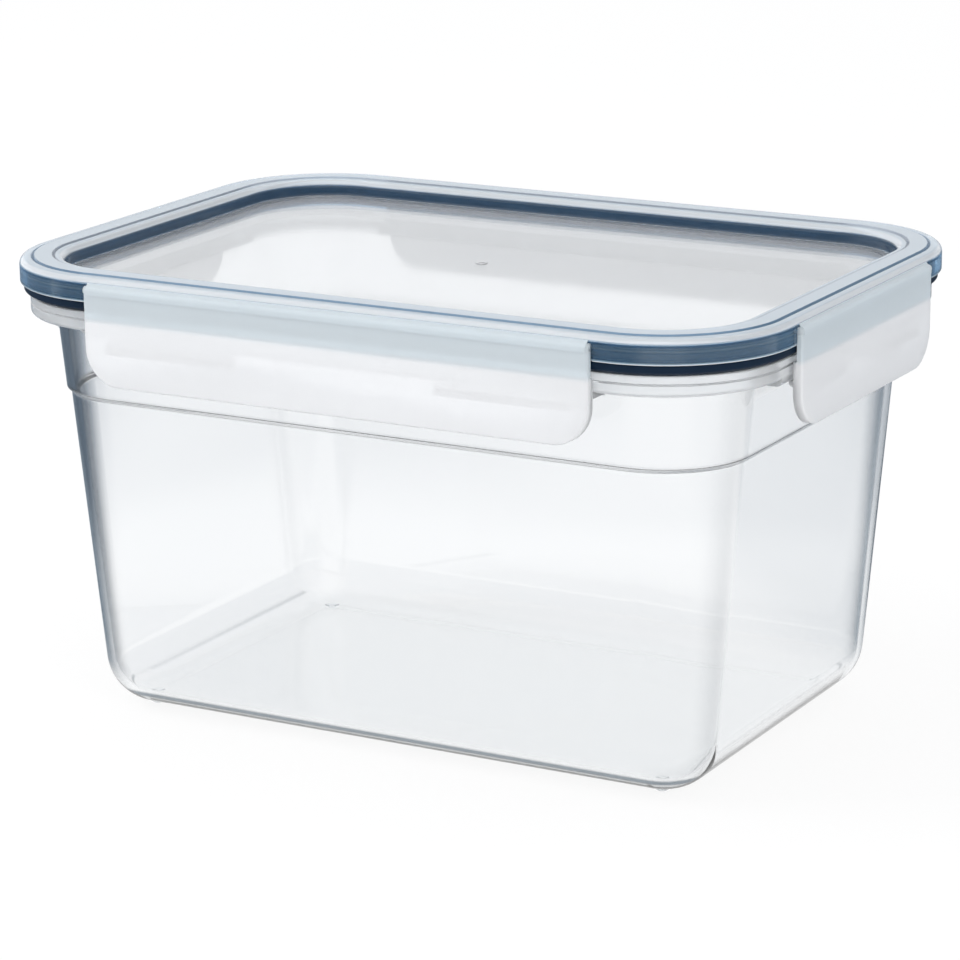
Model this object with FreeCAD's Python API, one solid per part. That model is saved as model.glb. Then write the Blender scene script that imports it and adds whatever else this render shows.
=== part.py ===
import FreeCAD, Part
import math
import os

# Clip-lid food storage box, modelled closed and empty.  Millimetres, +Z up, X along the long side.
# Origin: on the table under the middle of the box, with the four feet at Z = 0.
# Every wall runs round the same rounded rectangle: all corner arcs share the four corner centres,
# so a wall is one cross-section carried straight along the sides and turned about those centres.
# In a cross-section the first number is the half length of the box at that wall, drawn on the
# right-hand end, and the second is the height.

# ---- driving sizes: the whole box ----
LENGTH = 207.6             # lid, over its skirt
WIDTH = 147.6
LID_RADIUS = 32.3          # rounding of its four corners, seen from above
RIM_HEIGHT = 108.6         # top of the box's rim flange, where the seal sits

# ---- driving sizes: box ----
# an inset is measured in from the lid's outer face
FOOT_HEIGHT = 0.8
FOOT_RADIUS = 1.9
FOOT_PAST_X = 0.6          # feet, out from the corner centres
FOOT_PAST_Y = 2.1
WALL = 2.0                 # wall thickness of the clear box
FLOOR = 2.2                # floor thickness
TAPER = 0.09               # outward run of the walls per millimetre of height
BASE_ROUND = 13.2          # rounding between wall and floor, outside
STEP_DROP = 24.6           # the nesting step in the wall, down from the rim
STEP_INSET = 11.6          # outer face of the wall just below the step
STEP_OUT = 1.0             # how far the wall moves out at the step
FLANGE_INSET = 2.4         # outer face of the rim flange
FLANGE_DEEP = 5.1          # its height
FLANGE_LINE_DROP = 2.1     # the fine line round it, down from the rim
LEDGE_DROP = 1.55          # locking ledge below the flange
LEDGE_INSET = 0.4          # its outer face, in from the flange
LEDGE_PAST = 2.8           # on the two ends it runs on this far past its flap
LEDGE_SHORT = 1.0          # on the long sides it stops this far inside its flap

# ---- driving sizes: lid ----
# a rise is measured up from the box's rim
SKIRT = 1.6                # thickness of the skirt
SKIRT_RISE = 2.9           # its lower edge
SKIRT_ROUND = 1.85         # rounding from the skirt to the top
LID_RISE = 9.1             # top of the lid
CROWN = 0.3                # the land between the two fine lines stands this much higher
LINE_OUT_INSET = 3.3       # the two fine lines round the top of the rim
LINE_IN_INSET = 8.5
LINE_WIDTH = 0.7
LINE_DEPTH = 0.35
RIM_INSET = 11.3           # inner edge of the raised rim
RIM_ROUND = 2.3            # its rounding
RECESS_INSET = 11.7        # foot of the recess wall
PANEL_RISE = 4.9           # top of the sunk panel
PANEL = 1.5                # panel thickness
PLUG_DEEP = 1.6            # the plug hangs this far down inside the box
PLUG_GAP = 0.8             # its outer face to the inside of the box
PLUG = 1.6                 # its thickness
CHANNEL_RISE = 7.3         # ceiling of the channel that holds the seal
CHANNEL_INSET = 9.9        # inner wall of that channel
CHANNEL_STEP = 0.7         # rise at which that wall steps in to the plug
GATE_RADIUS = 1.6          # moulding mark in the middle of the panel
GATE_HEIGHT = 0.2

# ---- driving sizes: seal ----
SEAL_GAP = 0.2             # seal to lid channel
SEAL_SEAT = 0.05           # seal to flange
SEAL_WALL = 1.3            # lip thickness
SEAL_WEB = 1.6             # thickness of the web on the flange
SEAL_BULGE = 0.9           # exposed band, set in from the lid's skirt
SEAL_RIBS = 4              # fine ribs round the outer lip
SEAL_RIB = 0.25

# ---- driving sizes: flaps ----
FLAP_PROUD = 1.2           # closed flaps stand this far out from the skirt
FLAP_DROP = 17.4           # lower edge, down from the box's rim
FLAP_FRONT_END = 2.9       # each flap stops this far short of the corner's rounding
FLAP_SIDE_END = 3.1
FLAP_THICK = 2.4           # grip part
FLAP_THIN = 1.5            # upper part, over the skirt
FLAP_STEP_DROP = 1.2       # the change between the two, down from the rim
FLAP_CORNER = 9.5          # rounding of the two lower corners
FLAP_EDGE = 0.6            # rounding of the outer edges
HINGE_RADIUS = 1.0         # round bead along the top of a flap
HINGE_RISE = 6.1           # its centre
HINGE_GAP = 0.08           # running fit of the bead in the lid
POCKET_DEPTH = 0.7         # the skirt is set back behind each flap
POCKET_END = 0.4           # gap at each end of a flap
RIB_GAP = 0.3              # snap rib below the ledge
RIB_HEIGHT = 2.6
RIB_REACH = 3.3            # rib in from the flap's inner face
RIB_LONG = 36.0            # length of a rib on the front and back flaps
RIB_SHORT = 22.0           # and on the end flaps
RIB_INSET = 5.0            # rib in from the end of the flap

# ---- sizes that follow from those above ----
CORNER_X = LENGTH / 2 - LID_RADIUS
CORNER_Y = WIDTH / 2 - LID_RADIUS
LID_HALF = LENGTH / 2
FLANGE_HALF = LID_HALF - FLANGE_INSET
LEDGE_HALF = FLANGE_HALF - LEDGE_INSET
STEP_HALF = LID_HALF - STEP_INSET
SKIRT_IN = LID_HALF - SKIRT
CHANNEL_IN = LID_HALF - CHANNEL_INSET
RECESS_HALF = LID_HALF - RECESS_INSET
FLAP_HALF = LID_HALF + FLAP_PROUD
HINGE_HALF = FLAP_HALF - HINGE_RADIUS
FLAP_FRONT = CORNER_X - FLAP_FRONT_END
FLAP_SIDE = CORNER_Y - FLAP_SIDE_END

STEP_HEIGHT = RIM_HEIGHT - STEP_DROP
FLANGE_LOW = RIM_HEIGHT - FLANGE_DEEP
FLANGE_LINE = RIM_HEIGHT - FLANGE_LINE_DROP
SKIRT_LOW = RIM_HEIGHT + SKIRT_RISE
LID_TOP = RIM_HEIGHT + LID_RISE
PANEL_TOP = RIM_HEIGHT + PANEL_RISE
PLUG_LOW = RIM_HEIGHT - PLUG_DEEP
CHANNEL_TOP = RIM_HEIGHT + CHANNEL_RISE
FLAP_LOW = RIM_HEIGHT - FLAP_DROP
FLAP_STEP = RIM_HEIGHT - FLAP_STEP_DROP
HINGE_HEIGHT = RIM_HEIGHT + HINGE_RISE


def outline(corners):
    """Closed wire in the XZ plane through (half, height) corners; a third number rounds a corner."""
    points = [FreeCAD.Vector(c[0], 0, c[1]) for c in corners]
    rounds = [c[2] if len(c) > 2 else 0 for c in corners]
    ends = []
    for i, point in enumerate(points):
        back = (points[i - 1] - point).normalize()
        ahead = (points[(i + 1) % len(points)] - point).normalize()
        if rounds[i] == 0:
            ends.append((point, None, point))
            continue
        half_angle = back.getAngle(ahead) / 2
        reach = rounds[i] / math.tan(half_angle)
        middle = point + (back + ahead).normalize() * (rounds[i] / math.sin(half_angle) - rounds[i])
        ends.append((point + back * reach, middle, point + ahead * reach))
    edges = []
    for i, (start, middle, end) in enumerate(ends):
        if middle is not None:
            edges.append(Part.Arc(start, middle, end).toShape())
        following = ends[(i + 1) % len(ends)][0]
        if end.distanceToPoint(following) > 1e-6:
            edges.append(Part.makeLine(end, following))
    return Part.Wire(Part.__sortEdges__(edges))


def turned(shape, quarter):
    """Copy of a shape turned about the middle of the box by quarter turns."""
    copy = shape.copy()
    copy.rotate(FreeCAD.Vector(0, 0, 0), FreeCAD.Vector(0, 0, 1), 90 * quarter)
    return copy


def band(corners):
    """Solid whose cross-section runs once round the rounded rectangle."""
    up = FreeCAD.Vector(0, 0, 1)
    pieces = []
    for quarter in range(4):
        if quarter % 2 == 0:
            offset, run = CORNER_X, CORNER_Y
        else:
            offset, run = CORNER_Y, CORNER_X
        face = Part.Face(outline(corners))
        face.translate(FreeCAD.Vector(offset - CORNER_X, -run, 0))
        pieces.append(turned(face.extrude(FreeCAD.Vector(0, 2 * run, 0)), quarter))
        face.translate(FreeCAD.Vector(0, 2 * run, 0))
        pieces.append(turned(face.revolve(FreeCAD.Vector(offset, run, 0), up, 90), quarter))
    return pieces[0].multiFuse(pieces[1:])


def core(low, high):
    """The block inside the four corner centres."""
    corner = FreeCAD.Vector(-CORNER_X, -CORNER_Y, low)
    return Part.makeBox(2 * CORNER_X, 2 * CORNER_Y, high - low, corner)


def side_of(quarter):
    """Shift that takes a shape made for the right-hand end to another side before it is turned."""
    return 0 if quarter % 2 == 0 else CORNER_Y - CORNER_X


def on_side(shape, quarter):
    """A shape drawn on the right-hand end, moved to side 0 right, 1 back, 2 left or 3 front."""
    copy = shape.copy()
    copy.translate(FreeCAD.Vector(side_of(quarter), 0, 0))
    return turned(copy, quarter)


def bar(corners, half_run):
    """Straight bar along Y with the given cross-section."""
    face = Part.Face(outline(corners))
    face.translate(FreeCAD.Vector(0, -half_run, 0))
    return face.extrude(FreeCAD.Vector(0, 2 * half_run, 0))


def wall_half(height):
    """Outer half length of the box at a height."""
    above = STEP_OUT if height > STEP_HEIGHT else 0
    return STEP_HALF + above + (height - STEP_HEIGHT) * TAPER


def make_container():
    step = STEP_OUT * 0.45
    base = wall_half(FOOT_HEIGHT)
    floor_top = FOOT_HEIGHT + FLOOR
    # outside, from the middle of the floor up to the rim
    outside = [
        (CORNER_X, FOOT_HEIGHT),
        (base, FOOT_HEIGHT, BASE_ROUND),
        (wall_half(STEP_HEIGHT - step), STEP_HEIGHT - step, 0.4),
        (wall_half(STEP_HEIGHT + step), STEP_HEIGHT + step, 0.4),
        (wall_half(FLANGE_LOW), FLANGE_LOW, 0.6),
        (FLANGE_HALF, FLANGE_LOW, 1.2),
        (FLANGE_HALF, FLANGE_LINE - 0.3),
        (FLANGE_HALF - 0.35, FLANGE_LINE),
        (FLANGE_HALF, FLANGE_LINE + 0.3),
        (FLANGE_HALF, RIM_HEIGHT, 0.5),
    ]
    # inside, down again to the middle of the floor
    inside = [
        (wall_half(RIM_HEIGHT) - WALL, RIM_HEIGHT, 0.6),
        (wall_half(STEP_HEIGHT + step) - WALL, STEP_HEIGHT + step, 0.4),
        (wall_half(STEP_HEIGHT - step) - WALL, STEP_HEIGHT - step, 0.4),
        (wall_half(floor_top) - WALL, floor_top, BASE_ROUND - FLOOR),
        (CORNER_X, floor_top),
    ]
    box = band(outside + inside).fuse(core(FOOT_HEIGHT, floor_top))

    # the ledge that the snap ribs catch, under the flange behind each flap
    low = FLANGE_LOW - LEDGE_DROP
    for quarter in range(4):
        run = FLAP_SIDE + LEDGE_PAST if quarter % 2 == 0 else FLAP_FRONT - LEDGE_SHORT
        ledge = bar([
            (wall_half(low) - WALL / 2, low),
            (LEDGE_HALF, low, 0.4),
            (LEDGE_HALF, FLANGE_LOW + 0.8),
            (wall_half(low) - WALL / 2, FLANGE_LOW + 0.8),
        ], run)
        box = box.fuse(on_side(ledge, quarter))

    # four small domed feet
    dome = (FOOT_RADIUS ** 2 + FOOT_HEIGHT ** 2) / (2 * FOOT_HEIGHT)
    foot_x = CORNER_X + FOOT_PAST_X
    foot_y = CORNER_Y + FOOT_PAST_Y
    for x in (-foot_x, foot_x):
        for y in (-foot_y, foot_y):
            ball = Part.makeSphere(dome, FreeCAD.Vector(x, y, dome))
            trim = Part.makeCylinder(FOOT_RADIUS, FOOT_HEIGHT + FLOOR / 2, FreeCAD.Vector(x, y, 0))
            box = box.fuse(ball.common(trim))
    return box.removeSplitter()


def make_lid():
    def line(half, level_in, level_out):
        return [
            (half - LINE_WIDTH / 2, level_in),
            (half, LID_TOP - LINE_DEPTH),
            (half + LINE_WIDTH / 2, level_out),
        ]

    crown = LID_TOP + CROWN
    plug_half = wall_half(PLUG_LOW) - WALL - PLUG_GAP
    step = RIM_HEIGHT + CHANNEL_STEP
    outer_line = line(LID_HALF - LINE_OUT_INSET, crown, LID_TOP)
    inner_line = line(LID_HALF - LINE_IN_INSET, LID_TOP, crown)
    rim = band([
        (RECESS_HALF - PLUG, PANEL_TOP - PANEL),
        (plug_half - PLUG, PLUG_LOW, 0.5),
        (plug_half, PLUG_LOW, 0.7),
        (plug_half, step),
        (CHANNEL_IN, step),
        (CHANNEL_IN, CHANNEL_TOP, 0.5),
        (SKIRT_IN, CHANNEL_TOP, 0.5),
        (SKIRT_IN, SKIRT_LOW, 0.3),
        (LID_HALF, SKIRT_LOW, 0.4),
        (LID_HALF, LID_TOP, SKIRT_ROUND),
        outer_line[2],
        outer_line[1],
        outer_line[0],
        inner_line[2],
        inner_line[1],
        inner_line[0],
        (LID_HALF - RIM_INSET, LID_TOP, RIM_ROUND),
        (RECESS_HALF, PANEL_TOP, 0.6),
        (CORNER_X, PANEL_TOP),
        (CORNER_X, PANEL_TOP - PANEL),
    ])
    lid = rim.fuse(core(PANEL_TOP - PANEL, PANEL_TOP))

    # behind each flap the skirt is set back, and a groove holds the flap's bead
    for quarter in range(4):
        run = (FLAP_SIDE if quarter % 2 == 0 else FLAP_FRONT) + POCKET_END
        pocket = bar([
            (LID_HALF - POCKET_DEPTH, SKIRT_LOW - 1),
            (LID_HALF + 1, SKIRT_LOW - 1),
            (LID_HALF + 1, HINGE_HEIGHT),
            (LID_HALF - POCKET_DEPTH, HINGE_HEIGHT),
        ], run)
        along = FreeCAD.Vector(0, 1, 0)
        start = FreeCAD.Vector(HINGE_HALF, -run, HINGE_HEIGHT)
        groove = Part.makeCylinder(HINGE_RADIUS + HINGE_GAP, 2 * run, start, along)
        lid = lid.cut(on_side(pocket, quarter)).cut(on_side(groove, quarter))

    # the moulding mark
    centre = FreeCAD.Vector(0, 0, PANEL_TOP - PANEL / 2)
    mark = Part.makeCylinder(GATE_RADIUS, PANEL / 2 + GATE_HEIGHT, centre)
    return lid.fuse(mark).removeSplitter()


def make_seal():
    low = RIM_HEIGHT + SEAL_SEAT
    top = CHANNEL_TOP - SEAL_GAP
    outer = SKIRT_IN - SEAL_GAP
    inner = CHANNEL_IN + SEAL_GAP
    bulge = LID_HALF - SEAL_BULGE
    pitch = (top - SKIRT_LOW) / SEAL_RIBS
    ribs = []
    for i in range(SEAL_RIBS):
        start = SKIRT_LOW + i * pitch
        ribs.append((outer, start + pitch * 0.25))
        ribs.append((outer - SEAL_RIB, start + pitch * 0.6))
    corners = [
        (inner, low),
        (FLANGE_HALF - 0.4, low),
        (bulge, low + 0.9, 0.8),
        (bulge, SKIRT_LOW - SEAL_GAP, 0.2),
        (outer, SKIRT_LOW - SEAL_GAP),
    ]
    corners += ribs
    corners += [
        (outer, top, 0.3),
        (outer - SEAL_WALL, top, 0.3),
        (outer - SEAL_WALL - 0.3, low + SEAL_WEB, 0.5),
        (inner + SEAL_WALL, low + SEAL_WEB, 0.5),
        (inner + SEAL_WALL, top, 0.3),
        (inner, top, 0.3),
    ]
    return band(corners).removeSplitter()


def make_flap(half_run, rib_run, quarter):
    # the grip plate: straight across the top, two rounded corners below
    inner = FLAP_HALF - FLAP_THICK
    low = FLAP_LOW
    left = -half_run
    right = half_run
    turn = FLAP_CORNER
    slant = turn * math.sqrt(0.5)

    def at(y, z):
        return FreeCAD.Vector(inner, y, z)

    edge = [
        Part.makeLine(at(right, HINGE_HEIGHT), at(right, low + turn)),
        Part.Arc(at(right, low + turn), at(right - turn + slant, low + turn - slant),
                 at(right - turn, low)).toShape(),
        Part.makeLine(at(right - turn, low), at(left + turn, low)),
        Part.Arc(at(left + turn, low), at(left + turn - slant, low + turn - slant),
                 at(left, low + turn)).toShape(),
        Part.makeLine(at(left, low + turn), at(left, HINGE_HEIGHT)),
        Part.makeLine(at(left, HINGE_HEIGHT), at(right, HINGE_HEIGHT)),
    ]
    plate = Part.Face(Part.Wire(edge)).extrude(FreeCAD.Vector(FLAP_THICK, 0, 0))
    rounded = []
    for line in plate.Edges:
        box = line.BoundBox
        if box.XMin > FLAP_HALF - 0.01 and box.ZMin < HINGE_HEIGHT - 1:
            rounded.append(line)
    plate = plate.makeFillet(FLAP_EDGE, rounded)

    # thinner above the flange, where it passes the seal and the skirt
    relief = Part.makeBox(FLAP_THICK, 4 * half_run, HINGE_HEIGHT,
                          FreeCAD.Vector(FLAP_HALF - FLAP_THIN - FLAP_THICK, -2 * half_run, FLAP_STEP))
    plate = plate.cut(relief)

    # the bead along the top turns in the lid's groove
    start = FreeCAD.Vector(HINGE_HALF, -half_run, HINGE_HEIGHT)
    bead = Part.makeCylinder(HINGE_RADIUS, 2 * half_run, start, FreeCAD.Vector(0, 1, 0))
    flap = plate.fuse(bead)

    # two snap ribs catch under the box's ledge
    top = FLANGE_LOW - LEDGE_DROP - RIB_GAP
    for side in (-1, 1):
        rib = bar([
            (inner + FLAP_THICK / 2, top),
            (inner - RIB_REACH, top, 0.5),
            (inner - RIB_REACH, top - RIB_HEIGHT * 0.4, 0.5),
            (inner, top - RIB_HEIGHT, 0.3),
            (inner + FLAP_THICK / 2, top - RIB_HEIGHT),
        ], rib_run / 2)
        rib.translate(FreeCAD.Vector(0, side * (half_run - RIB_INSET - rib_run / 2), 0))
        flap = flap.fuse(rib)
    return on_side(flap.removeSplitter(), quarter)


nodes = {
    "container": make_container(),
    "lid": make_lid(),
    "seal": make_seal(),
    "flap_right": make_flap(FLAP_SIDE, RIB_SHORT, 0),
    "flap_back": make_flap(FLAP_FRONT, RIB_LONG, 1),
    "flap_left": make_flap(FLAP_SIDE, RIB_SHORT, 2),
    "flap_front": make_flap(FLAP_FRONT, RIB_LONG, 3),
}

os.makedirs("parts", exist_ok=True)
for name, shape in nodes.items():
    solid = shape.Solids[0]
    solid.exportStep("parts/" + name + ".step")
    box = solid.BoundBox
    print(name, "solids", len(shape.Solids), "valid", solid.isValid(),
          "volume", round(solid.Volume), "x", round(box.XMin, 2), round(box.XMax, 2),
          "y", round(box.YMin, 2), round(box.YMax, 2), "z", round(box.ZMin, 2), round(box.ZMax, 2))
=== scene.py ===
import math

import bmesh
import bpy
from mathutils import Matrix, Vector


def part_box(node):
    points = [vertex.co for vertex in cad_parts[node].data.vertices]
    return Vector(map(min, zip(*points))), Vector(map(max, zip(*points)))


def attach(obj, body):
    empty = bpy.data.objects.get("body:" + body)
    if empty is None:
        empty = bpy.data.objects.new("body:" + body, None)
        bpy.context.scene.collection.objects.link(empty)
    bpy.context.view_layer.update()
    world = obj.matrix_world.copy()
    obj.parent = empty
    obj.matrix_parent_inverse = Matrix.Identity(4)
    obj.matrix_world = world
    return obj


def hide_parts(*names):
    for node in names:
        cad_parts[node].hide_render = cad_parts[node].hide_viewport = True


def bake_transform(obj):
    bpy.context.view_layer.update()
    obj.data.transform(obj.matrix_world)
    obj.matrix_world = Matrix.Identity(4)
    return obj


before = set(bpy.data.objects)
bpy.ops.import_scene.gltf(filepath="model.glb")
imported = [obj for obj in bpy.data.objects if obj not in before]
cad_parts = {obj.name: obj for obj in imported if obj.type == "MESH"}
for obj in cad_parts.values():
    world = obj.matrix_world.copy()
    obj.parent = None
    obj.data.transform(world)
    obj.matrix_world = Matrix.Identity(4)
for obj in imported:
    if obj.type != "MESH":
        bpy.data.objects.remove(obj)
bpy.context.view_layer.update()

# ---- The clear box ----
# A thin tapered tub moulded in one shot from clear copolyester, with a nesting step high in the wall
# and a flange round the rim. Its wall section runs round a rounded rectangle, so a Geometry Nodes
# tree carries the section past a ring of guide points.
mm = 0.001
tub_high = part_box("container")[1]
flange_half = tub_high.x / mm
corner_x, corner_y = 71.5, 41.5
foot_height, wall, floor_thick = 0.8, 2.0, 2.2
taper, base_round = 0.09, 13.2
step_z, step_half, step_out = 84.0, 92.2, 1.0
flange_low, flange_line, flange_top = 103.5, 106.5, tub_high.z / mm
flange_line_half, flange_line_depth = 0.3, 0.35
ledge_drop, ledge_side, ledge_front, ledge_reach = 1.55, 41.2, 67.6, 95.5
foot_line_low, foot_line_high, foot_line_reach = 3.8, 6.4, 79.1
edge_shade_blue = (0.06, 0.085, 0.11, 1)


def placed(name, data):
    """An object for a mesh, a lamp or a camera, put into the scene."""
    made = bpy.data.objects.new(name, data)
    bpy.context.scene.collection.objects.link(made)
    return made


def finished(name, shape, material, sharp, mesh=None):
    """A piece from its worked shape: smooth, but sharp where two faces meet at more than an angle.
    A given mesh already wears its material, and the shape is written back into it."""
    if mesh is None:
        mesh = bpy.data.meshes.new(name)
        mesh.materials.append(material)
    shape.to_mesh(mesh)
    shape.free()
    mesh.polygons.foreach_set("use_smooth", [True] * len(mesh.polygons))
    mesh.set_sharp_from_angle(angle=math.radians(sharp))
    return placed(name, mesh)


def rounded(corners, turn=10.0, closed=False):
    """Points of a wall section through (half, height, radius) corners, each rounded by an arc.
    A point close beside each arc keeps the flats beside it flat in the shading."""
    points = []
    for i, corner in enumerate(corners):
        here = Vector(corner[:2])
        radius = corner[2] if len(corner) > 2 else 0
        if radius == 0 or (not closed and i in (0, len(corners) - 1)):
            points.append(here)
            continue
        back = (Vector(corners[i - 1][:2]) - here).normalized()
        ahead = (Vector(corners[(i + 1) % len(corners)][:2]) - here).normalized()
        half_angle = back.angle(ahead) / 2
        reach = radius / math.tan(half_angle)
        centre = here + (back + ahead).normalized() * (radius / math.sin(half_angle))
        start, end = here + back * reach, here + ahead * reach
        sweep = math.pi - 2 * half_angle
        steps = max(3, math.ceil(math.degrees(sweep) / turn))
        side = 1 if (start - centre).cross(end - centre) > 0 else -1
        support = min(0.12, radius * 0.2)
        points.append(start + back * support)
        for k in range(steps + 1):
            points.append(centre + Matrix.Rotation(side * sweep * k / steps, 2) @ (start - centre))
        points.append(end + ahead * support)
    return points


def section_mesh(name, points, behind):
    """The wall section as loose points, each with the place it takes behind a flap."""
    mesh = bpy.data.meshes.new(name)
    mesh.from_pydata([((p.x - corner_x) * mm, 0, p.y * mm) for p in points], [], [])
    place = mesh.attributes.new("behind_flap", "FLOAT_VECTOR", "POINT")
    for item, p in zip(place.data, behind):
        item.vector = ((p.x - corner_x) * mm, 0, p.y * mm)
    return placed(name, mesh)


def guide_ring(name, side_half, front_half, corner_steps=28, change=0.1, support=0.3):
    """Points round the box at the corner centres, each with its outward direction and whether it
    stands behind a flap. The change at each end of a flap is two points close together."""
    places, outward, covered = [], [], []

    def add(x, y, angle, share):
        places.append((x * mm, y * mm, 0))
        outward.append((math.cos(angle), math.sin(angle), 0))
        covered.append(share)

    for quarter in range(4):
        side = quarter * math.pi / 2
        out = Vector((math.cos(side), math.sin(side)))
        along = Vector((-out.y, out.x))
        offset, run, edge = corner_x, corner_y, side_half
        if quarter % 2 == 1:
            offset, run, edge = corner_y, corner_x, front_half
        start = ((-edge - change, 0), (-edge, 1), (-edge + support, 1))
        end = ((edge - support, 1), (edge, 1), (edge + change, 0))
        for y, share in start + end:
            spot = out * offset + along * y
            add(spot.x, spot.y, side, share)
        centre = out * offset + along * run
        for k in range(corner_steps + 1):
            add(centre.x, centre.y, side + math.pi / 2 * k / corner_steps, 0)
    mesh = bpy.data.meshes.new(name)
    mesh.from_pydata(places, [], [])
    mesh.attributes.new("outward", "FLOAT_VECTOR", "POINT").data.foreach_set(
        "vector", [c for v in outward for c in v])
    mesh.attributes.new("covered", "FLOAT", "POINT").data.foreach_set("value", covered)
    return placed(name, mesh)


def wall_tree():
    """Geometry Nodes that carry a wall section round a guide ring."""
    tree = bpy.data.node_groups.new("wall round a ring", "GeometryNodeTree")
    face = tree.interface
    for name, kind in (
        ("Geometry", "Geometry"), ("Ring", "Object"), ("Section", "Object"), ("Columns", "Int"),
        ("Rows", "Int"), ("Points", "Int"), ("Weld", "Float"), ("Material", "Material"),
    ):
        face.new_socket(name, in_out="INPUT", socket_type="NodeSocket" + kind)
    face.new_socket("Geometry", in_out="OUTPUT", socket_type="NodeSocketGeometry")

    def node(kind, **settings):
        made = tree.nodes.new(kind)
        for key, value in settings.items():
            setattr(made, key, value)
        return made

    def wire(source, target):
        tree.links.new(source, target)

    def maths(operation, first, second):
        made = node("ShaderNodeMath", operation=operation)
        for socket, value in zip(made.inputs, (first, second)):
            if isinstance(value, (int, float)):
                socket.default_value = value
            elif value is not None:
                wire(value, socket)
        return made.outputs[0]

    given = node("NodeGroupInput")
    grid = node("GeometryNodeMeshGrid")
    wire(maths("ADD", given.outputs["Columns"], 1), grid.inputs["Vertices X"])
    wire(maths("ADD", given.outputs["Rows"], 1), grid.inputs["Vertices Y"])

    # the grid is one unit square, so its own coordinates give each point's column and row
    split = node("ShaderNodeSeparateXYZ")
    wire(node("GeometryNodeInputPosition").outputs[0], split.inputs[0])

    def number(coordinate, count, wrap):
        spread = maths("MULTIPLY", maths("ADD", coordinate, 0.5), count)
        return maths("MODULO", maths("ROUND", spread, None), wrap)

    column = number(split.outputs["X"], given.outputs["Columns"], given.outputs["Columns"])
    row = number(split.outputs["Y"], given.outputs["Rows"], given.outputs["Points"])

    def sampled(source, attribute, kind, index):
        info = node("GeometryNodeObjectInfo")
        wire(given.outputs[source], info.inputs["Object"])
        sample = node("GeometryNodeSampleIndex", data_type=kind, domain="POINT")
        wire(info.outputs["Geometry"], sample.inputs["Geometry"])
        if attribute is None:
            wire(node("GeometryNodeInputPosition").outputs[0], sample.inputs["Value"])
        else:
            named = node("GeometryNodeInputNamedAttribute", data_type=kind)
            named.inputs["Name"].default_value = attribute
            wire(named.outputs["Attribute"], sample.inputs["Value"])
        wire(index, sample.inputs["Index"])
        return sample.outputs["Value"]

    centre = sampled("Ring", None, "FLOAT_VECTOR", column)
    outward = sampled("Ring", "outward", "FLOAT_VECTOR", column)
    covered = sampled("Ring", "covered", "FLOAT", column)
    open_wall = sampled("Section", None, "FLOAT_VECTOR", row)
    flap_wall = sampled("Section", "behind_flap", "FLOAT_VECTOR", row)

    mix = node("ShaderNodeMix", data_type="VECTOR")
    wire(covered, mix.inputs["Factor"])
    vectors = [s for s in mix.inputs if s.type == "VECTOR" and s.name in ("A", "B")]
    wire(open_wall, vectors[0])
    wire(flap_wall, vectors[1])
    point = node("ShaderNodeSeparateXYZ")
    wire([s for s in mix.outputs if s.type == "VECTOR"][0], point.inputs[0])
    away = node("ShaderNodeVectorMath", operation="SCALE")
    wire(outward, away.inputs[0])
    wire(point.outputs["X"], away.inputs["Scale"])
    lift = node("ShaderNodeCombineXYZ")
    wire(point.outputs["Z"], lift.inputs["Z"])
    first = node("ShaderNodeVectorMath", operation="ADD")
    wire(centre, first.inputs[0])
    wire(away.outputs["Vector"], first.inputs[1])
    second = node("ShaderNodeVectorMath", operation="ADD")
    wire(first.outputs["Vector"], second.inputs[0])
    wire(lift.outputs["Vector"], second.inputs[1])

    place = node("GeometryNodeSetPosition")
    wire(grid.outputs["Mesh"], place.inputs["Geometry"])
    wire(second.outputs["Vector"], place.inputs["Position"])
    weld = node("GeometryNodeMergeByDistance")
    wire(place.outputs["Geometry"], weld.inputs["Geometry"])
    wire(given.outputs["Weld"], weld.inputs["Distance"])
    real = node("GeometryNodeRealizeInstances")
    wire(weld.outputs["Geometry"], real.inputs["Geometry"])
    paint = node("GeometryNodeSetMaterial")
    wire(real.outputs["Geometry"], paint.inputs["Geometry"])
    wire(given.outputs["Material"], paint.inputs["Material"])
    wire(paint.outputs["Geometry"], node("NodeGroupOutput").inputs["Geometry"])
    return tree


round_wall = wall_tree()


def carried_round(name, points, behind, side_half, front_half, material, closed=False):
    """A finished wall: the section carried round the ring, its middle filled, its faces outwards."""
    section = section_mesh(name + "_section", points, behind)
    ring = guide_ring(name + "_ring", side_half, front_half)
    carrier = placed(name + "_carrier", bpy.data.meshes.new(name + "_carrier"))
    modifier = carrier.modifiers.new("wall", "NODES")
    modifier.node_group = round_wall
    sockets = {s.name: s.identifier for s in round_wall.interface.items_tree if s.in_out == "INPUT"}
    values = {
        "Ring": ring,
        "Section": section,
        "Columns": len(ring.data.vertices),
        "Rows": len(points) if closed else len(points) - 1,
        "Points": len(points),
        "Weld": 0.002 * mm,
        "Material": material,
    }
    for key, value in values.items():
        modifier[sockets[key]] = value
    bpy.context.view_layer.update()
    seen = carrier.evaluated_get(bpy.context.evaluated_depsgraph_get())
    mesh = bpy.data.meshes.new_from_object(seen)
    mesh.name = name
    for spare in (carrier, section, ring):
        bpy.data.objects.remove(spare)

    shape = bmesh.new()
    shape.from_mesh(mesh)
    bmesh.ops.dissolve_degenerate(shape, edges=shape.edges, dist=0.001 * mm)
    rim = [e for e in shape.edges if e.is_boundary]
    if rim:
        bmesh.ops.holes_fill(shape, edges=rim, sides=0)
    bmesh.ops.recalc_face_normals(shape, faces=shape.faces)
    if shape.calc_volume(signed=True) < 0:
        bmesh.ops.reverse_faces(shape, faces=shape.faces)
    return finished(name, shape, material, sharp=32, mesh=mesh)


def wall_half(z):
    """Outer half length of the box at a height."""
    return step_half + (step_out if z > step_z else 0) + (z - step_z) * taper


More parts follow.
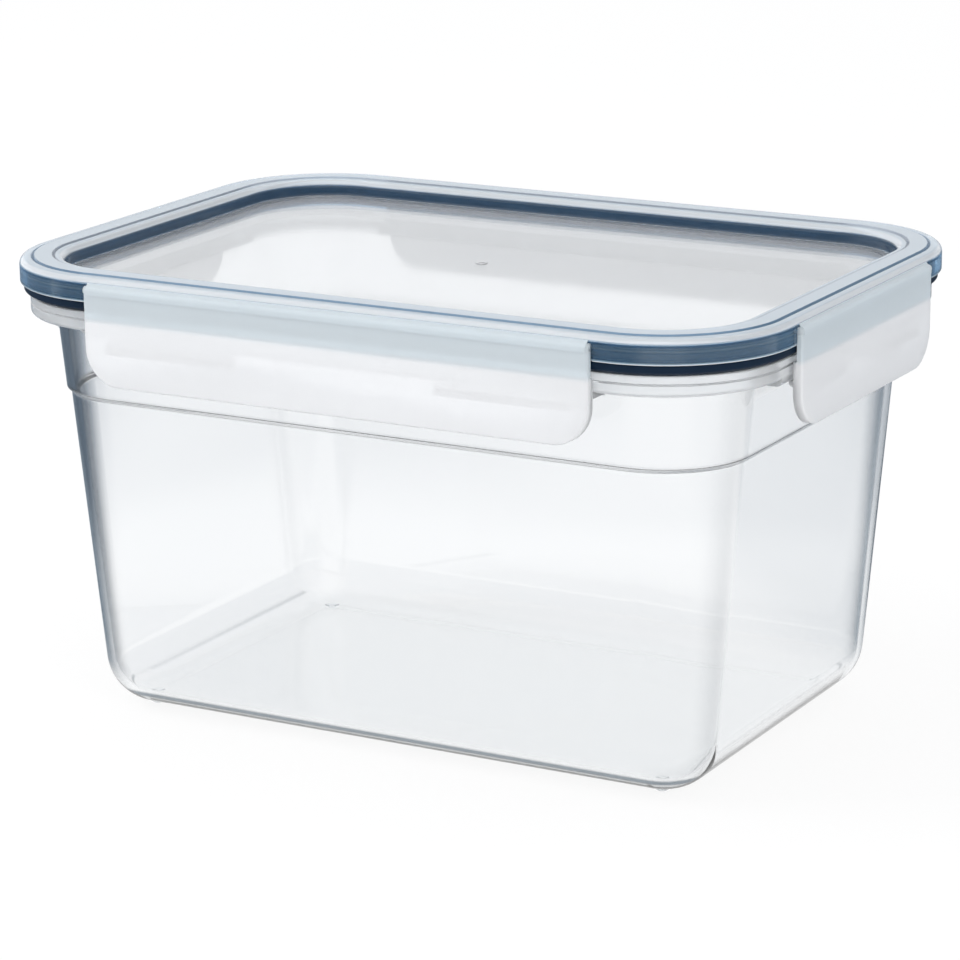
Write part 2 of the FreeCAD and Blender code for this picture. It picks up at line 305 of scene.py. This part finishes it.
def flange_behind_flap(point):
    """Behind a flap the flange's underside drops to the ledge that the snap ribs catch."""
    if point.y < flange_low - 1.5 or point.x < wall_half(point.y) - 0.5:
        return point
    drop = ledge_drop * min(1.0, max(0.0, 1 - (point.y - flange_low) / 0.9))
    return Vector((point.x - taper * drop, point.y - drop))


def mapped(nodes, links, value, from_low, from_high, low, high):
    """A value eased from one level to another."""
    step = nodes.new("ShaderNodeMapRange")
    step.interpolation_type = "SMOOTHSTEP"
    step.inputs["From Min"].default_value = from_low
    step.inputs["From Max"].default_value = from_high
    step.inputs["To Min"].default_value = low
    step.inputs["To Max"].default_value = high
    links.new(value, step.inputs["Value"])
    return step.outputs["Result"]


def mixed(nodes, links, factor, first, second):
    """One colour eased into another; either may be a plain colour or a node's output."""
    blend = nodes.new("ShaderNodeMix")
    blend.data_type = "RGBA"
    sockets = [s for s in blend.inputs if s.type == "RGBA"]
    for socket, value in zip(sockets, (first, second)):
        if isinstance(value, tuple):
            socket.default_value = value
        else:
            links.new(value, socket)
    links.new(factor, blend.inputs["Factor"])
    return [s for s in blend.outputs if s.type == "RGBA"][0]


def maths(nodes, links, operation, first, second=None):
    """A plain sum of two values or a function of one."""
    made = nodes.new("ShaderNodeMath")
    made.operation = operation
    for socket, value in zip(made.inputs, (first, second)):
        if isinstance(value, (int, float)):
            socket.default_value = value
        elif value is not None:
            links.new(value, socket)
    return made.outputs[0]


def noise(nodes, links, place, scale, detail=2):
    """A cloudy pattern on the piece."""
    cloud = nodes.new("ShaderNodeTexNoise")
    cloud.inputs["Scale"].default_value = scale
    cloud.inputs["Detail"].default_value = detail
    links.new(place, cloud.inputs["Vector"])
    return cloud.outputs["Fac"]


def skin(nodes, links, surface, pattern, strength, distance):
    """A very shallow relief on the surface."""
    bump = nodes.new("ShaderNodeBump")
    bump.inputs["Strength"].default_value = strength
    bump.inputs["Distance"].default_value = distance
    links.new(pattern, bump.inputs["Height"])
    links.new(bump.outputs["Normal"], surface.inputs["Normal"])


def new_material(name, ior=None):
    """A fresh material: its nodes, links and shader, the place on the piece and its height."""
    made = bpy.data.materials.new(name)
    made.use_nodes = True
    nodes, links = made.node_tree.nodes, made.node_tree.links
    surface = nodes["Principled BSDF"]
    if ior is not None:
        surface.inputs["IOR"].default_value = ior
    place = nodes.new("ShaderNodeTexCoord").outputs["Object"]
    height = nodes.new("ShaderNodeSeparateXYZ")
    links.new(place, height.inputs[0])
    return made, nodes, links, surface, place, height.outputs["Z"]


def past_core(nodes, links, place):
    """How far a point lies outside the rectangle of the corner centres: the level vector and
    its length."""
    value = place
    for operation, second in (("ABSOLUTE", None), ("SUBTRACT", (corner_x * mm, corner_y * mm, 0)),
                              ("MAXIMUM", (0, 0, 0)), ("MULTIPLY", (1, 1, 0))):
        step = nodes.new("ShaderNodeVectorMath")
        step.operation = operation
        links.new(value, step.inputs[0])
        if second is not None:
            step.inputs[1].default_value = second
        value = step.outputs["Vector"]
    span = nodes.new("ShaderNodeVectorMath")
    span.operation = "LENGTH"
    links.new(value, span.inputs[0])
    return value, span.outputs["Value"]


def clear_plastic():
    """Water-clear copolyester, flange a little hazy; corners and foot get painted steel-blue shade."""
    made, nodes, links, surface, place, level = new_material("clear plastic", ior=1.54)
    beyond, span = past_core(nodes, links, place)

    def over(low, high, start=0, end=1):
        return mapped(nodes, links, level, low * mm, high * mm, start, end)

    def outside(low, high):
        return mapped(nodes, links, span, (low - corner_x) * mm, (high - corner_x) * mm, 0, 1)

    def both(first, *others):
        for other in others:
            first = maths(nodes, links, "MULTIPLY", first, other)
        return first

    # the haze lies on the flange, its ledges and the nesting step
    flange = over(flange_low - 2.2, flange_low - 0.4)
    ledge = both(over(flange_low - 2.2, flange_low - 1.6), outside(ledge_reach, ledge_reach + 0.6))
    nesting = maths(nodes, links, "MINIMUM", over(step_z - 1.4, step_z - 0.4, 0, 0.6),
                    over(step_z + 0.4, step_z + 1.4, 0.6, 0))
    rim = maths(nodes, links, "MAXIMUM", maths(nodes, links, "MAXIMUM", flange, nesting), ledge)
    # painted shade: the curved corners are painted steel blue, most of all where they turn edge-on
    turned_away = nodes.new("ShaderNodeLayerWeight")
    turned_away.inputs["Blend"].default_value = 0.5
    facing = turned_away.outputs["Facing"]
    corner = nodes.new("ShaderNodeVectorMath")
    corner.operation = "NORMALIZE"
    links.new(beyond, corner.inputs[0])
    parts = nodes.new("ShaderNodeSeparateXYZ")
    links.new(corner.outputs["Vector"], parts.inputs[0])
    bend = maths(nodes, links, "MULTIPLY", both(parts.outputs["X"], parts.outputs["Y"]), 2)
    edge = both(mapped(nodes, links, facing, 0.15, 0.6, 0, 1), bend, over(4, 13))
    # painted shade too: a steel-blue line is painted round the turn of the base, along its foot
    under = both(
        mapped(nodes, links, facing, 0.35, 0.55, 0, 1), over(foot_line_low, foot_line_low + 0.6),
        over(foot_line_high - 1.1, foot_line_high, 1, 0), outside(foot_line_reach, foot_line_reach + 0.8))
    edge = maths(nodes, links, "MAXIMUM", edge, under)
    # painted shade: the floor of the box is painted a little greyer than its walls
    floor_shade = over(3.2, 4.5, 1, 0)
    body = mixed(nodes, links, floor_shade, (0.99, 0.992, 0.995, 1), (0.955, 0.965, 0.972, 1))
    body = mixed(nodes, links, edge, body, edge_shade_blue)
    links.new(mixed(nodes, links, rim, body, (0.93, 0.94, 0.95, 1)), surface.inputs["Base Color"])
    links.new(mapped(nodes, links, rim, 0, 1, 1.0, 0.62), surface.inputs["Transmission Weight"])
    # the polish is a little uneven, and the moulded skin has a faint flow to it
    polish = mapped(nodes, links, noise(nodes, links, place, scale=45, detail=3), 0, 1, 0, 0.02)
    haze = mapped(nodes, links, rim, 0, 1, 0, 0.14)
    links.new(maths(nodes, links, "ADD", polish, haze), surface.inputs["Roughness"])
    flow = noise(nodes, links, place, scale=22, detail=1)
    skin(nodes, links, surface, flow, strength=0.05, distance=0.4 * mm)
    tint = nodes.new("ShaderNodeVolumeAbsorption")
    tint.inputs["Color"].default_value = (0.45, 0.66, 0.78, 1)
    tint.inputs["Density"].default_value = 12
    links.new(tint.outputs["Volume"], nodes["Material Output"].inputs["Volume"])
    return made


step = step_out * 0.45
base_z, floor_z = foot_height, foot_height + floor_thick
tub_section = rounded([
    (corner_x, base_z),
    (wall_half(base_z), base_z, base_round),
    (wall_half(step_z - step), step_z - step, 0.4),
    (wall_half(step_z + step), step_z + step, 0.4),
    (wall_half(flange_low), flange_low, 0.6),
    (flange_half, flange_low, 1.2),
    (flange_half, flange_line - flange_line_half),
    (flange_half - flange_line_depth, flange_line),
    (flange_half, flange_line + flange_line_half),
    (flange_half, flange_top, 0.5),
    (wall_half(flange_top) - wall, flange_top, 0.6),
    (wall_half(step_z + step) - wall, step_z + step, 0.4),
    (wall_half(step_z - step) - wall, step_z - step, 0.4),
    (wall_half(floor_z) - wall, floor_z, base_round - floor_thick),
    (corner_x, floor_z),
], turn=7)
clear = clear_plastic()
tub_behind = [flange_behind_flap(p) for p in tub_section]
tub = carried_round("clear_box", tub_section, tub_behind, ledge_side, ledge_front, clear)
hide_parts("container")
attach(tub, "box")

# ---- The feet ----
# Four small domes moulded on the underside near the corners, so that the base stands clear of the
# table. Each is a lens that just meets the base.
foot_x, foot_y, foot_radius, foot_rings, foot_steps, foot_rise = 72.1, 43.6, 1.9, 6, 24, 0.98
dome = (foot_radius ** 2 + foot_height ** 2) / (2 * foot_height)
feet = bmesh.new()
for sx in (-1, 1):
    for sy in (-1, 1):
        rings = []
        for k in range(1, foot_rings + 1):
            angle = math.asin(foot_radius / dome) * k / foot_rings
            rings.append([
                feet.verts.new((
                    (sx * foot_x + dome * math.sin(angle) * math.cos(math.tau * i / foot_steps)) * mm,
                    (sy * foot_y + dome * math.sin(angle) * math.sin(math.tau * i / foot_steps)) * mm,
                    (dome - dome * math.cos(angle)) * foot_rise * mm,
                )) for i in range(foot_steps)])
        tip = feet.verts.new((sx * foot_x * mm, sy * foot_y * mm, 0))
        for i in range(foot_steps):
            j = (i + 1) % foot_steps
            feet.faces.new((tip, rings[0][j], rings[0][i]))
            for low_ring, high_ring in zip(rings, rings[1:]):
                feet.faces.new((low_ring[i], low_ring[j], high_ring[j], high_ring[i]))
        feet.faces.new(rings[-1])
bmesh.ops.recalc_face_normals(feet, faces=feet.faces)
feet_piece = finished("feet", feet, clear, sharp=32)
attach(feet_piece, "box")

# ---- The seal ----
# A navy silicone ring pressed into the channel under the lid's rim. Its outer lip has fine ribs and
# swells out below the skirt, and its two lips stand on a web that lies on the box's flange.
front_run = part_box("flap_front")[1].x / mm
side_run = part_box("flap_right")[1].y / mm
lid_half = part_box("lid")[1].x / mm
skirt_low, skirt_in, channel_top, channel_in = 111.5, 102.2, 115.9, 93.9
seal_gap, seal_lip, seal_web, seal_ribs, seal_rib = 0.2, 1.3, 1.6, 4, 0.25
seal_clear, seal_inset = 0.05, 0.9
seal_low, seal_top = flange_top + seal_clear, channel_top - seal_gap
seal_out, seal_in, seal_bulge = skirt_in - seal_gap, channel_in + seal_gap, lid_half - seal_inset
pitch = (seal_top - skirt_low) / seal_ribs
rib_corners = []
for k in range(seal_ribs):
    rib_corners.append((seal_out, skirt_low + (k + 0.25) * pitch, 0.15))
    rib_corners.append((seal_out - seal_rib, skirt_low + (k + 0.6) * pitch, 0.1))
seal_section = rounded([
    (seal_in, seal_low),
    (flange_half - 0.4, seal_low),
    (seal_bulge, seal_low + 0.9, 0.8),
    (seal_bulge, skirt_low - seal_gap, 0.2),
    (seal_out, skirt_low - seal_gap),
    *rib_corners,
    (seal_out, seal_top, 0.3),
    (seal_out - seal_lip, seal_top, 0.3),
    (seal_out - seal_lip - 0.3, seal_low + seal_web, 0.5),
    (seal_in + seal_lip, seal_low + seal_web, 0.5),
    (seal_in + seal_lip, seal_top, 0.3),
    (seal_in, seal_top, 0.3),
], turn=20, closed=True)


def navy_silicone():
    """Satin silicone, a little dusty, with a very fine grain."""
    made, nodes, links, surface, place, _ = new_material("navy silicone")
    tone = nodes.new("ShaderNodeValToRGB")
    tone.color_ramp.elements[0].color = (0.003, 0.011, 0.026, 1)
    tone.color_ramp.elements[1].color = (0.005, 0.017, 0.038, 1)
    links.new(noise(nodes, links, place, scale=60), tone.inputs["Fac"])
    links.new(tone.outputs["Color"], surface.inputs["Base Color"])
    surface.inputs["Roughness"].default_value = 0.5
    surface.inputs["Specular IOR Level"].default_value = 0.12
    grain = noise(nodes, links, place, scale=2500)
    skin(nodes, links, surface, grain, strength=0.15, distance=0.1 * mm)
    return made


navy = navy_silicone()
seal = carried_round("seal_ring", seal_section, seal_section, side_run, front_run, navy, closed=True)
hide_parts("seal")
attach(seal, "box")

# ---- The lid ----
# One polypropylene moulding: a flat panel sunk inside a raised rim, a plug below it that fits in the
# box, and an outer skirt. Two fine lines run round the rim, and the gate leaves a mark in the middle.
lid_top, crown, skirt_round, channel_step = 117.7, 0.3, 1.85, 109.3
line_out, line_in, line_width, line_depth = 100.5, 95.3, 0.7, 0.35
rim_in, rim_round, recess_half, panel_z, panel = 92.5, 2.3, 92.1, 113.5, 1.5
plug_low, plug, plug_gap = 107.0, 1.6, 0.8
plug_half = wall_half(plug_low) - wall - plug_gap
flap_x = -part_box("flap_left")[0].x / mm
pocket_depth, pocket_gap, bead_inset = 0.7, 0.4, 1.0
hinge_half, hinge_z, hinge_radius = flap_x - bead_inset, 114.7, 1.08


def round_hinge(radius, angles):
    """Places on an arc about the hinge line."""
    turns = [math.radians(a) for a in angles]
    return [(hinge_half + radius * math.cos(a), hinge_z + radius * math.sin(a)) for a in turns]


groove = [Vector(p) for p in round_hinge(hinge_radius, range(210, 98, -10))]


def skirt_between_flaps(point):
    """Away from the flaps the skirt stands full out, over the pocket and the hinge groove."""
    if point.x < skirt_in + 0.45 or point.y > groove[-1].y + 0.01:
        return point
    if point.y < skirt_low + 0.5:
        return Vector((point.x + pocket_depth, point.y))
    return Vector((lid_half, point.y))


before_groove = [
    (plug_half - plug - 0.5, panel_z - panel, 0.5),
    (plug_half - plug, plug_low, 0.5),
    (plug_half, plug_low, 0.7),
    (plug_half, channel_step),
    (channel_in, channel_step),
    (channel_in, channel_top, 0.5),
    (skirt_in, channel_top, 0.5),
    (skirt_in, skirt_low, 0.3),
    (lid_half - pocket_depth, skirt_low, 0.4),
    (lid_half - pocket_depth, groove[0].y),
]
after_groove = [
    (lid_half, groove[-1].y + 0.02),
    (lid_half, lid_top, skirt_round),
    (line_out + line_width / 2, lid_top),
    (line_out, lid_top - line_depth),
    (line_out - line_width / 2, lid_top + crown),
    (line_in + line_width / 2, lid_top + crown),
    (line_in, lid_top - line_depth),
    (line_in - line_width / 2, lid_top),
    (rim_in, lid_top, rim_round),
    (recess_half, panel_z, 0.6),
    (corner_x, panel_z),
]
lid_section = rounded([(corner_x, panel_z - panel), *before_groove], turn=12)
lid_section += groove + rounded(after_groove, turn=12)


def lid_plastic():
    """Polypropylene: the panel is nearly clear and the rim has a blue cast. The land on top of the
    rim has a fine satin texture, and the two lines in it are painted darker as painted shade. The
    recess wall has a painted dark band and the top of the rim a painted white highlight."""
    made, nodes, links, surface, place, level = new_material("lid plastic", ior=1.49)
    half = past_core(nodes, links, place)[1]

    def outside(low, high):
        return mapped(nodes, links, half, (low - corner_x) * mm, (high - corner_x) * mm, 0, 1)

    def over(low, high):
        return mapped(nodes, links, level, low * mm, high * mm, 0, 1)

    def both(first, second):
        return maths(nodes, links, "MULTIPLY", first, second)

    def without(cover):
        return maths(nodes, links, "SUBTRACT", 1, cover)

    def line_at(line):
        off = maths(nodes, links, "ABSOLUTE", maths(nodes, links, "SUBTRACT", half, (line - corner_x) * mm))
        return both(mapped(nodes, links, off, 0.3 * mm, 0.6 * mm, 1, 0), over(lid_top - 0.6, lid_top - 0.45))

    # fine lines run round the skirt, left by turning the mould
    turned = nodes.new("ShaderNodeTexNoise")
    turned.noise_dimensions = "1D"
    turned.inputs["Scale"].default_value = 1800
    turned.inputs["Detail"].default_value = 2
    links.new(level, turned.inputs["W"])
    streak = mapped(nodes, links, turned.outputs["Fac"], 0.38, 0.62, 0, 1)
    skirt_tone = mixed(nodes, links, streak, (0.20, 0.44, 0.74, 1), (0.52, 0.76, 0.95, 1))
    # painted shade: the lower recess wall is painted dark blue, fading to pale blue towards the rim top
    recess_shade_band = mixed(nodes, links, over(lid_top - 1.8, lid_top - 1.2), (0.20, 0.38, 0.62, 1),
                        (0.75, 0.88, 0.98, 1))
    short_of_channel = without(outside(channel_in - 0.7, channel_in - 0.3))
    plug_wall = both(outside(plug_half - plug - 1, plug_half - plug - 0.7), short_of_channel)
    inner_wall = both(outside(recess_half - 0.4, recess_half), short_of_channel)
    land = over(lid_top - 0.3, lid_top - 0.05)
    # each layer: where it lies, its tone, and how clear it is
    layers = (
        (outside(recess_half - 0.3, recess_half + 0.2), skirt_tone, 0.90),
        (both(inner_wall, over(panel_z - 0.4, panel_z)), recess_shade_band, 0.88),
        (both(plug_wall, without(over(panel_z - 1.9, panel_z - 1.5))), (0.95, 0.965, 0.98, 1), 0.16),
        # painted highlight: the rounded top of the rim is painted white and made less clear
        (over(lid_top - 1.6, lid_top - 1.0), (0.94, 0.97, 1.0, 1), 0.52),
        (land, (0.64, 0.72, 0.79, 1), 0.46),
        # painted shade: the two lines are painted darker, as the shadow in their grooves
        (line_at(line_out), (0.17, 0.29, 0.43, 1), 0.5),
        (line_at(line_in), (0.42, 0.47, 0.54, 1), 0.5),
        (both(outside(skirt_in - 0.3, skirt_in), without(over(skirt_low + 0.2, skirt_low + 0.5))),
         (0.90, 0.94, 0.97, 1), 0.4),
    )
    tone, share = (0.955, 0.96, 0.968, 1), (0.84, 0.84, 0.84, 1)
    for cover, layer_tone, clearness in layers:
        tone = mixed(nodes, links, cover, tone, layer_tone)
        share = mixed(nodes, links, cover, share, (clearness, clearness, clearness, 1))
    links.new(tone, surface.inputs["Base Color"])
    links.new(share, surface.inputs["Transmission Weight"])
    satin = mapped(nodes, links, land, 0, 1, 0, 0.14)
    uneven = mapped(nodes, links, noise(nodes, links, place, scale=120, detail=4), 0, 1, 0.02, 0.05)
    links.new(maths(nodes, links, "ADD", satin, uneven), surface.inputs["Roughness"])
    return made


lid_open = [skirt_between_flaps(p) for p in lid_section]
lid_clear = lid_plastic()
lid = carried_round(
    "lid_moulding", lid_open, lid_section, side_run + pocket_gap, front_run + pocket_gap, lid_clear)
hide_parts("lid")
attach(lid, "box")

# ---- The moulding mark ----
# A low round boss in the middle of the panel, with a dimple where the plastic was let in and broke
# off. It is turned about its middle and stands on the panel.
boss = ((0.35, 0.05), (0.6, 0.08), (0.8, 0.17), (1.0, 0.2), (1.25, 0.19), (1.5, 0.12), (1.6, 0.01))
boss_turns = [math.tau * i / 32 for i in range(32)]
mark = bmesh.new()
boss_rings = [[
    mark.verts.new((r * mm * math.cos(a), r * mm * math.sin(a), (panel_z + z) * mm))
    for a in boss_turns] for r, z in boss]
mark.faces.new(boss_rings[0])
mark.faces.new(boss_rings[-1])
for inner, outer in zip(boss_rings, boss_rings[1:]):
    for i in range(len(boss_turns)):
        j = (i + 1) % len(boss_turns)
        mark.faces.new((inner[i], outer[i], outer[j], inner[j]))
bmesh.ops.recalc_face_normals(mark, faces=mark.faces)
moulding_mark = finished("moulding_mark", mark, lid_clear, sharp=40)
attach(moulding_mark, "box")

# ---- The flaps ----
# Four milky polypropylene flaps moulded with the lid. Each turns on a bead along its top, and two
# ribs on its back snap under the box's ledge.
thin_above = 106.4


def flap_plastic():
    """Milky, translucent polypropylene with a satin outer face, clearer where it is thin."""
    made, nodes, links, surface, place, level = new_material("flap plastic", ior=1.49)
    thin = mapped(nodes, links, level, thin_above * mm, (thin_above + 2) * mm, 0, 1)
    tone = mixed(nodes, links, thin, (0.965, 0.97, 0.98, 1), (0.86, 0.935, 0.975, 1))
    links.new(tone, surface.inputs["Base Color"])
    links.new(mapped(nodes, links, thin, 0, 1, 0.4, 0.52), surface.inputs["Transmission Weight"])
    satin = nodes.new("ShaderNodeMapRange")
    satin.inputs["To Min"].default_value = 0.28
    satin.inputs["To Max"].default_value = 0.4
    links.new(noise(nodes, links, place, scale=90, detail=4), satin.inputs["Value"])
    links.new(satin.outputs["Result"], surface.inputs["Roughness"])
    return made


flap_milk = flap_plastic()
for side in ("right", "back", "left", "front"):
    shape = bmesh.new()
    shape.from_mesh(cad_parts["flap_" + side].data)
    bmesh.ops.remove_doubles(shape, verts=shape.verts, dist=0.001 * mm)
    bmesh.ops.recalc_face_normals(shape, faces=shape.faces)
    flap = finished("flap_" + side + "_plate", shape, flap_milk, sharp=28)
    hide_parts("flap_" + side)
    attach(flap, side + "_flap")

# ---- The hinge films ----
# A thin film along the top of each flap joins it to the lid.
# It is moulded in the flap's plastic.
film_thick, film_radius, film_inset, film_root = 0.12, 1.14, 0.6, 116.5
film_line = [
    (lid_half - 1.0, lid_top - 0.34),
    (lid_half - 0.5, lid_top - 0.72),
    (lid_half - 0.08, lid_top - 1.3),
    *round_hinge(film_radius, range(80, -1, -10)),
    (flap_x + 0.14, hinge_z - 1.0),
]
for side, quarter in (("right", 0), ("back", 1), ("left", 2), ("front", 3)):
    run = side_run if quarter % 2 == 0 else front_run
    shift = 0 if quarter % 2 == 0 else corner_y - corner_x
    turn = Matrix.Rotation(quarter * math.pi / 2, 4, "Z")
    shape = bmesh.new()
    rows = []
    for i, (x, z) in enumerate(film_line):
        ahead = Vector(film_line[min(i + 1, len(film_line) - 1)])
        behind = Vector(film_line[max(i - 1, 0)])
        direction = (ahead - behind).normalized()
        normal = Vector((-direction.y, direction.x)) * -1
        for offset in (0, film_thick):
            for y in (-run + film_inset, run - film_inset):
                place = Vector(((x + shift + normal.x * offset) * mm, y * mm, (z + normal.y * offset) * mm))
                rows.append(shape.verts.new(turn @ place))
    for i in range(len(film_line) - 1):
        a, b = rows[4 * i:4 * i + 4], rows[4 * i + 4:4 * i + 8]
        for p, q in ((0, 1), (1, 3), (3, 2), (2, 0)):
            shape.faces.new((a[p], a[q], b[q], b[p]))
    for end in (rows[:4], rows[-4:]):
        shape.faces.new((end[0], end[1], end[3], end[2]))
    bmesh.ops.recalc_face_normals(shape, faces=shape.faces)
    film = finished("hinge_film_" + side, shape, flap_milk, sharp=50)
    end = turn @ Vector(((flap_x + shift) * mm, 0, (hinge_z - 0.2) * mm))
    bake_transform(film)

# ---- The studio ----
# A white table that runs out to a white surround, lit evenly from above with one broad soft lamp at
# the left and a weaker one at the right. Grey-blue cards lie on it at both sides, where only the
# clear and glossy parts see them.
reach, card_line = 6.0, 29
seen_share, through_share = 0.9, 0.85
card_tone, white, wall_blue = (0.06, 0.12, 0.19, 1), (1, 1, 1, 1), (0.10, 0.17, 0.25, 1)
floor_mesh = bpy.data.meshes.new("table")
floor_mesh.from_pydata(
    [(-reach, -reach, 0), (reach, -reach, 0), (reach, reach, 0), (-reach, reach, 0)], [], [(0, 1, 2, 3)])
table = placed("table", floor_mesh)
paper, nodes, links, matt, spot, _ = new_material("white paper")
matt.inputs["Base Color"].default_value = (0.9, 0.9, 0.9, 1)
matt.inputs["Roughness"].default_value = 0.9
glow = nodes.new("ShaderNodeEmission")
kind = nodes.new("ShaderNodeLightPath")
through_ray, gloss_ray = kind.outputs["Is Transmission Ray"], kind.outputs["Is Glossy Ray"]
share = maths(nodes, links, "MULTIPLY", kind.outputs["Is Camera Ray"], seen_share)
for ray in (through_ray, gloss_ray):
    share = maths(nodes, links, "MAXIMUM", share, maths(nodes, links, "MULTIPLY", ray, through_share))


def along(nodes, links, vector, degrees):
    """How far a vector reaches along a level direction."""
    dot = nodes.new("ShaderNodeVectorMath")
    dot.operation = "DOT_PRODUCT"
    dot.inputs[1].default_value = (math.cos(math.radians(degrees)), math.sin(math.radians(degrees)), 0)
    links.new(vector, dot.inputs[0])
    return dot.outputs["Value"]


across = along(nodes, links, spot, card_line)
depth = along(nodes, links, spot, card_line + 90)
to_side = maths(nodes, links, "ABSOLUTE", across)
aside = mapped(nodes, links, to_side, 0.105, 0.22, 0, 1)
away = mapped(nodes, links, maths(nodes, links, "ABSOLUTE", depth), 0.0, 0.16, 0, 1)
weight = mapped(nodes, links, across, -0.02, 0.02, 1, 0.45)
card = maths(nodes, links, "MULTIPLY", maths(nodes, links, "MULTIPLY", aside, away), weight)
# a nearer card behind each end, for the gloss only
near_card = maths(nodes, links, "MULTIPLY", mapped(nodes, links, to_side, 0.09, 0.13, 0, 1),
                  mapped(nodes, links, depth, -0.02, 0.03, 0, 1))
only_gloss = maths(nodes, links, "MAXIMUM", maths(nodes, links, "SUBTRACT", gloss_ray, through_ray), 0)
in_gloss = maths(nodes, links, "MULTIPLY", only_gloss, maths(nodes, links, "MAXIMUM", card, near_card))
seen = maths(nodes, links, "MAXIMUM", in_gloss, maths(nodes, links, "MULTIPLY", card, through_ray))
links.new(mixed(nodes, links, seen, white, card_tone), glow.inputs["Color"])
lit = nodes.new("ShaderNodeMixShader")
links.new(share, lit.inputs["Fac"])
links.new(matt.outputs["BSDF"], lit.inputs[1])
links.new(glow.outputs["Emission"], lit.inputs[2])
links.new(lit.outputs["Shader"], nodes["Material Output"].inputs["Surface"])
floor_mesh.materials.append(paper)

world = bpy.data.worlds.new("studio")
bpy.context.scene.world = world
world.use_nodes = True
nodes, links = world.node_tree.nodes, world.node_tree.links
room = nodes["Background"]
room.inputs["Color"].default_value = (0.97, 0.98, 1.0, 1)
room.inputs["Strength"].default_value = 0.95

# beyond the table the clear parts see a white wall and the cards, and the gloss sees a white wall at
# the left and a dimmer one at the right
direction = nodes.new("ShaderNodeTexCoord")
kind = nodes.new("ShaderNodeLightPath")
across = along(nodes, links, direction.outputs["Generated"], card_line)
card = mapped(nodes, links, maths(nodes, links, "ABSOLUTE", across), 0.2, 0.6, 0, 1)
through = nodes.new("ShaderNodeBackground")
links.new(mixed(nodes, links, card, white, wall_blue), through.inputs["Color"])
mirrored = nodes.new("ShaderNodeBackground")
mirrored.inputs["Color"].default_value = (0.94, 0.97, 1, 1)
links.new(mapped(nodes, links, across, 0.1, 0.7, 1, 0.45), mirrored.inputs["Strength"])
plain = nodes.new("ShaderNodeBackground")
plain.inputs["Color"].default_value = white
unlit = maths(nodes, links, "LESS_THAN", kind.outputs["Diffuse Depth"], 0.5)
result = room.outputs["Background"]
for factor, shader in (
    (maths(nodes, links, "MULTIPLY", kind.outputs["Is Glossy Ray"], unlit), mirrored),
    (maths(nodes, links, "MULTIPLY", kind.outputs["Is Transmission Ray"], unlit), through),
    (kind.outputs["Is Camera Ray"], plain),
):
    layer = nodes.new("ShaderNodeMixShader")
    links.new(factor, layer.inputs["Fac"])
    links.new(result, layer.inputs[1])
    links.new(shader.outputs["Background"], layer.inputs[2])
    result = layer.outputs["Shader"]
links.new(result, nodes["World Output"].inputs["Surface"])

for name, place, size, power in (
    ("left softbox", (-1.1, -0.5, 1.0), 0.9, 13),
    ("right softbox", (1.2, -0.9, 0.8), 0.6, 7),
):
    light = bpy.data.lights.new(name, "AREA")
    light.size = size
    light.energy = power
    lamp = placed(name, light)
    lamp.location = place
    lamp.visible_glossy = False
    lamp.visible_transmission = False
    lamp.rotation_euler = (Vector(place) - Vector((0, 0, 0.06))).to_track_quat("Z", "Y").to_euler()

# ---- The camera ----
# A long lens from the front right, a little above the lid. It looks at the middle of the box and is
# turned a little about its own line of sight.
azimuth, elevation, roll = math.radians(29.05), math.radians(15.33), math.radians(-0.61)
distance, target = 0.951, Vector((0, 0, 0.0574))
back = Vector((
    math.sin(azimuth) * math.cos(elevation), -math.cos(azimuth) * math.cos(elevation), math.sin(elevation)))
right = Vector((math.cos(azimuth), math.sin(azimuth), 0))
up = back.cross(right)
tilted_right = right * math.cos(roll) + up * math.sin(roll)
tilted_up = up * math.cos(roll) - right * math.sin(roll)
camera_data = bpy.data.cameras.new("camera")
camera_data.sensor_width = 36
camera_data.lens = 140.55
camera_data.shift_x = -0.0040
camera_data.clip_start = 0.05
camera_data.clip_end = 50
camera = placed("camera", camera_data)
place = target + back * distance
camera.matrix_world = Matrix((
    (tilted_right.x, tilted_up.x, back.x, place.x),
    (tilted_right.y, tilted_up.y, back.y, place.y),
    (tilted_right.z, tilted_up.z, back.z, place.z),
    (0, 0, 0, 1),
))
bpy.context.scene.camera = camera
bpy.context.scene.view_settings.view_transform = "Standard"
